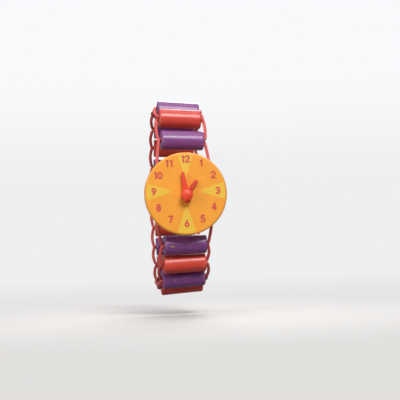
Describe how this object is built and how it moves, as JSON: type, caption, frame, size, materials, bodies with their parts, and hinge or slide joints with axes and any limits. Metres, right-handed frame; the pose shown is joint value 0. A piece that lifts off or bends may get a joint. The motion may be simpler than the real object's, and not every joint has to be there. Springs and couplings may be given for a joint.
{
  "type": "toy watch",
  "caption": "Toy wrist watch: a round wooden dial with turning hour and minute hands on an elastic band of laced cylindrical wooden beads that stretches over the hand",
  "frame": {"origin": "middle of the wrist opening, on the axis of the loop", "axes": "X along the wrist and the beads, dial facing -Y, twelve o'clock along +Z"},
  "size_m": [0.033, 0.0592, 0.0816],
  "materials": {
    "dial_orange": "orange lacquer on turned wood, with printed wedges and numerals",
    "bare_wood": "bare sanded wood",
    "bead_purple": "glossy purple lacquer on wood, lightly scuffed",
    "bead_red": "glossy red lacquer on wood, lightly scuffed",
    "hand_red": "glossy red",
    "elastic_red": "red textile-covered elastic cord"
  },
  "bodies": {
    "dial_head": {"dial": "dial_orange", "strap_block": "bare_wood", "centre_peg": "hand_red", "cord_dial": "elastic_red"},
    "hour_hand": {"hour_hand": "hand_red"},
    "minute_hand": {"minute_hand": "hand_red"},
    "lacing_01": {"cord_01": "elastic_red"},
    "bead_01": {"bead_01": "bead_purple"},
    "lacing_02": {"cord_02": "elastic_red"},
    "bead_02": {"bead_02": "bead_red"},
    "lacing_03": {"cord_03": "elastic_red"},
    "bead_03": {"bead_03": "bead_purple"},
    "lacing_04": {"cord_04": "elastic_red"},
    "bead_04": {"bead_04": "bead_red"},
    "lacing_05": {"cord_05": "elastic_red"},
    "bead_05": {"bead_05": "bead_purple"},
    "lacing_06": {"cord_06": "elastic_red"},
    "bead_06": {"bead_06": "bead_red"},
    "lacing_07": {"cord_07": "elastic_red"},
    "bead_07": {"bead_07": "bead_purple"},
    "lacing_08": {"cord_08": "elastic_red"},
    "bead_08": {"bead_08": "bead_red"},
    "lacing_09": {"cord_09": "elastic_red"},
    "bead_09": {"bead_09": "bead_purple"},
    "lacing_10": {"cord_10": "elastic_red"},
    "bead_10": {"bead_10": "bead_red"},
    "lacing_11": {"cord_11": "elastic_red"},
    "bead_11": {"bead_11": "bead_purple"},
    "lacing_12": {"cord_12": "elastic_red"},
    "bead_12": {"bead_12": "bead_red"},
    "lacing_13": {"cord_13": "elastic_red"},
    "bead_13": {"bead_13": "bead_purple"},
    "lacing_14": {"cord_14": "elastic_red"},
    "bead_14": {"bead_14": "bead_red"},
    "lacing_15": {"cord_15": "elastic_red"},
    "bead_15": {"bead_15": "bead_purple"},
    "lacing_16": {"cord_16": "elastic_red"},
    "bead_16": {"bead_16": "bead_red"},
    "lacing_17": {"cord_17": "elastic_red"},
    "bead_17": {"bead_17": "bead_purple"},
    "knot": {"cord_closing": "elastic_red", "cord_knot": "elastic_red"}
  },
  "joints": [
    {"name": "hour_turn", "type": "hinge", "parent": "dial_head", "child": "hour_hand", "pos_m": [0, -0.02853, -0.0008], "axis": [0, -1, 0], "continuous": true},
    {"name": "minute_turn", "type": "hinge", "parent": "dial_head", "child": "minute_hand", "pos_m": [0, -0.02853, -0.0008], "axis": [0, -1, 0], "continuous": true},
    {"name": "band_stretch", "type": "slide", "parent": "dial_head", "child": "lacing_01", "axis": [0, 0.2028, 0.9792], "range_m": [0, 0.00456], "stiffness_N_per_m": 1500, "deforming": ["cord_01"]},
    {"name": "gap_02", "type": "slide", "parent": "lacing_01", "child": "lacing_02", "axis": [0, 0.5798, 0.8148], "range_m": [0, 0.00243], "deforming": ["cord_02"]},
    {"name": "gap_03", "type": "slide", "parent": "lacing_02", "child": "lacing_03", "axis": [0, 0.8803, 0.4745], "range_m": [0, 0.00178], "deforming": ["cord_03"]},
    {"name": "gap_04", "type": "slide", "parent": "lacing_03", "child": "lacing_04", "axis": [0, 0.9946, -0.1042], "range_m": [0, 0.00177], "deforming": ["cord_04"]},
    {"name": "gap_05", "type": "slide", "parent": "lacing_04", "child": "lacing_05", "axis": [0, 0.795, -0.6066], "range_m": [0, 0.00178], "deforming": ["cord_05"]},
    {"name": "gap_06", "type": "slide", "parent": "lacing_05", "child": "lacing_06", "axis": [0, 0.5417, -0.8406], "range_m": [0, 0.00179], "deforming": ["cord_06"]},
    {"name": "gap_07", "type": "slide", "parent": "lacing_06", "child": "lacing_07", "axis": [0, 0.3388, -0.9409], "range_m": [0, 0.00179], "deforming": ["cord_07"]},
    {"name": "gap_08", "type": "slide", "parent": "lacing_07", "child": "lacing_08", "axis": [0, 0.1718, -0.9851], "range_m": [0, 0.00179], "deforming": ["cord_08"]},
    {"name": "gap_09", "type": "slide", "parent": "lacing_08", "child": "lacing_09", "axis": [0, 0.0217, -0.9998], "range_m": [0, 0.00179], "deforming": ["cord_09"]},
    {"name": "gap_17", "type": "slide", "parent": "dial_head", "child": "lacing_17", "axis": [0, 0.1794, -0.9838], "range_m": [0, 0.00418], "deforming": ["cord_17"]},
    {"name": "gap_16", "type": "slide", "parent": "lacing_17", "child": "lacing_16", "axis": [0, 0.4717, -0.8818], "range_m": [0, 0.00175], "deforming": ["cord_16"]},
    {"name": "gap_15", "type": "slide", "parent": "lacing_16", "child": "lacing_15", "axis": [0, 0.7039, -0.7103], "range_m": [0, 0.00174], "deforming": ["cord_15"]},
    {"name": "gap_14", "type": "slide", "parent": "lacing_15", "child": "lacing_14", "axis": [0, 0.9473, -0.3205], "range_m": [0, 0.00173], "deforming": ["cord_14"]},
    {"name": "gap_13", "type": "slide", "parent": "lacing_14", "child": "lacing_13", "axis": [0, 0.9594, 0.282], "range_m": [0, 0.00177], "deforming": ["cord_13"]},
    {"name": "gap_12", "type": "slide", "parent": "lacing_13", "child": "lacing_12", "axis": [0, 0.7162, 0.6979], "range_m": [0, 0.00178], "deforming": ["cord_12"]},
    {"name": "gap_11", "type": "slide", "parent": "lacing_12", "child": "lacing_11", "axis": [0, 0.4766, 0.8791], "range_m": [0, 0.00179], "deforming": ["cord_11"]},
    {"name": "gap_10", "type": "slide", "parent": "lacing_11", "child": "lacing_10", "axis": [0, 0.2867, 0.958], "range_m": [0, 0.00179], "deforming": ["cord_10"]},
    {"name": "gap_closing", "type": "slide", "parent": "lacing_09", "child": "knot", "axis": [0, -0.1265, -0.992], "range_m": [0, 0.00179], "deforming": ["cord_closing"]},
    {"name": "roll_01", "type": "hinge", "parent": "lacing_01", "child": "bead_01", "pos_m": [0, -0.0175, 0.02235], "axis": [0.9974, 0.0647, -0.0304], "continuous": true},
    {"name": "roll_02", "type": "hinge", "parent": "lacing_02", "child": "bead_02", "pos_m": [0, -0.01059, 0.03206], "axis": [0.9974, 0.0478, -0.0532], "continuous": true},
    {"name": "roll_03", "type": "hinge", "parent": "lacing_03", "child": "bead_03", "pos_m": [0, -0.00293, 0.03619], "axis": [0.9974, 0.0154, -0.0698], "continuous": true},
    {"name": "roll_04", "type": "hinge", "parent": "lacing_04", "child": "bead_04", "pos_m": [0, 0.00568, 0.03529], "axis": [0.9974, -0.0287, -0.0655], "continuous": true},
    {"name": "roll_05", "type": "hinge", "parent": "lacing_05", "child": "bead_05", "pos_m": [0, 0.01262, 0.02999], "axis": [0.9974, -0.0539, -0.047], "continuous": true},
    {"name": "roll_06", "type": "hinge", "parent": "lacing_06", "child": "bead_06", "pos_m": [0, 0.01737, 0.02262], "axis": [0.9974, -0.0645, -0.0308], "continuous": true},
    {"name": "roll_07", "type": "hinge", "parent": "lacing_07", "child": "bead_07", "pos_m": [0, 0.02035, 0.01435], "axis": [0.9974, -0.0692, -0.0179], "continuous": true},
    {"name": "roll_08", "type": "hinge", "parent": "lacing_08", "child": "bead_08", "pos_m": [0, 0.02186, 0.00569], "axis": [0.9974, -0.0712, -0.0068], "continuous": true},
    {"name": "roll_09", "type": "hinge", "parent": "lacing_09", "child": "bead_09", "pos_m": [0, 0.02205, -0.0031], "axis": [0.9974, -0.0714, 0.0037], "continuous": true},
    {"name": "roll_10", "type": "hinge", "parent": "lacing_10", "child": "bead_10", "pos_m": [0, 0.02094, -0.01182], "axis": [0.9974, -0.07, 0.0145], "continuous": true},
    {"name": "roll_11", "type": "hinge", "parent": "lacing_11", "child": "bead_11", "pos_m": [0, 0.01842, -0.02024], "axis": [0.9974, -0.0663, 0.0268], "continuous": true},
    {"name": "roll_12", "type": "hinge", "parent": "lacing_12", "child": "bead_12", "pos_m": [0, 0.01423, -0.02796], "axis": [0.9974, -0.058, 0.0418], "continuous": true},
    {"name": "roll_13", "type": "hinge", "parent": "lacing_13", "child": "bead_13", "pos_m": [0, 0.00797, -0.03406], "axis": [0.9974, -0.0384, 0.0603], "continuous": true},
    {"name": "roll_14", "type": "hinge", "parent": "lacing_14", "child": "bead_14", "pos_m": [0, -0.00035, -0.03651], "axis": [0.9974, 0.0019, 0.0715], "continuous": true},
    {"name": "roll_15", "type": "hinge", "parent": "lacing_15", "child": "bead_15", "pos_m": [0, -0.00839, -0.03379], "axis": [0.9974, 0.04, 0.0592], "continuous": true},
    {"name": "roll_16", "type": "hinge", "parent": "lacing_16", "child": "bead_16", "pos_m": [0, -0.01441, -0.02771], "axis": [0.9974, 0.0584, 0.0413], "continuous": true},
    {"name": "roll_17", "type": "hinge", "parent": "lacing_17", "child": "bead_17", "pos_m": [0, -0.01845, -0.02015], "axis": [0.9974, 0.0664, 0.0266], "continuous": true}
  ],
  "couplings": [
    {"joint": "gap_02", "follows": "band_stretch", "ratio": 0.52237},
    {"joint": "gap_03", "follows": "band_stretch", "ratio": 0.38131},
    {"joint": "gap_04", "follows": "band_stretch", "ratio": 0.37909},
    {"joint": "gap_05", "follows": "band_stretch", "ratio": 0.38249},
    {"joint": "gap_06", "follows": "band_stretch", "ratio": 0.38442},
    {"joint": "gap_07", "follows": "band_stretch", "ratio": 0.38501},
    {"joint": "gap_08", "follows": "band_stretch", "ratio": 0.3852},
    {"joint": "gap_09", "follows": "band_stretch", "ratio": 0.38525},
    {"joint": "gap_17", "follows": "band_stretch", "ratio": 0.89732},
    {"joint": "gap_16", "follows": "band_stretch", "ratio": 0.37598},
    {"joint": "gap_15", "follows": "band_stretch", "ratio": 0.37479},
    {"joint": "gap_14", "follows": "band_stretch", "ratio": 0.3717},
    {"joint": "gap_13", "follows": "band_stretch", "ratio": 0.37987},
    {"joint": "gap_12", "follows": "band_stretch", "ratio": 0.38332},
    {"joint": "gap_11", "follows": "band_stretch", "ratio": 0.38464},
    {"joint": "gap_10", "follows": "band_stretch", "ratio": 0.38509},
    {"joint": "gap_closing", "follows": "band_stretch", "ratio": 0.38522}
  ]
}
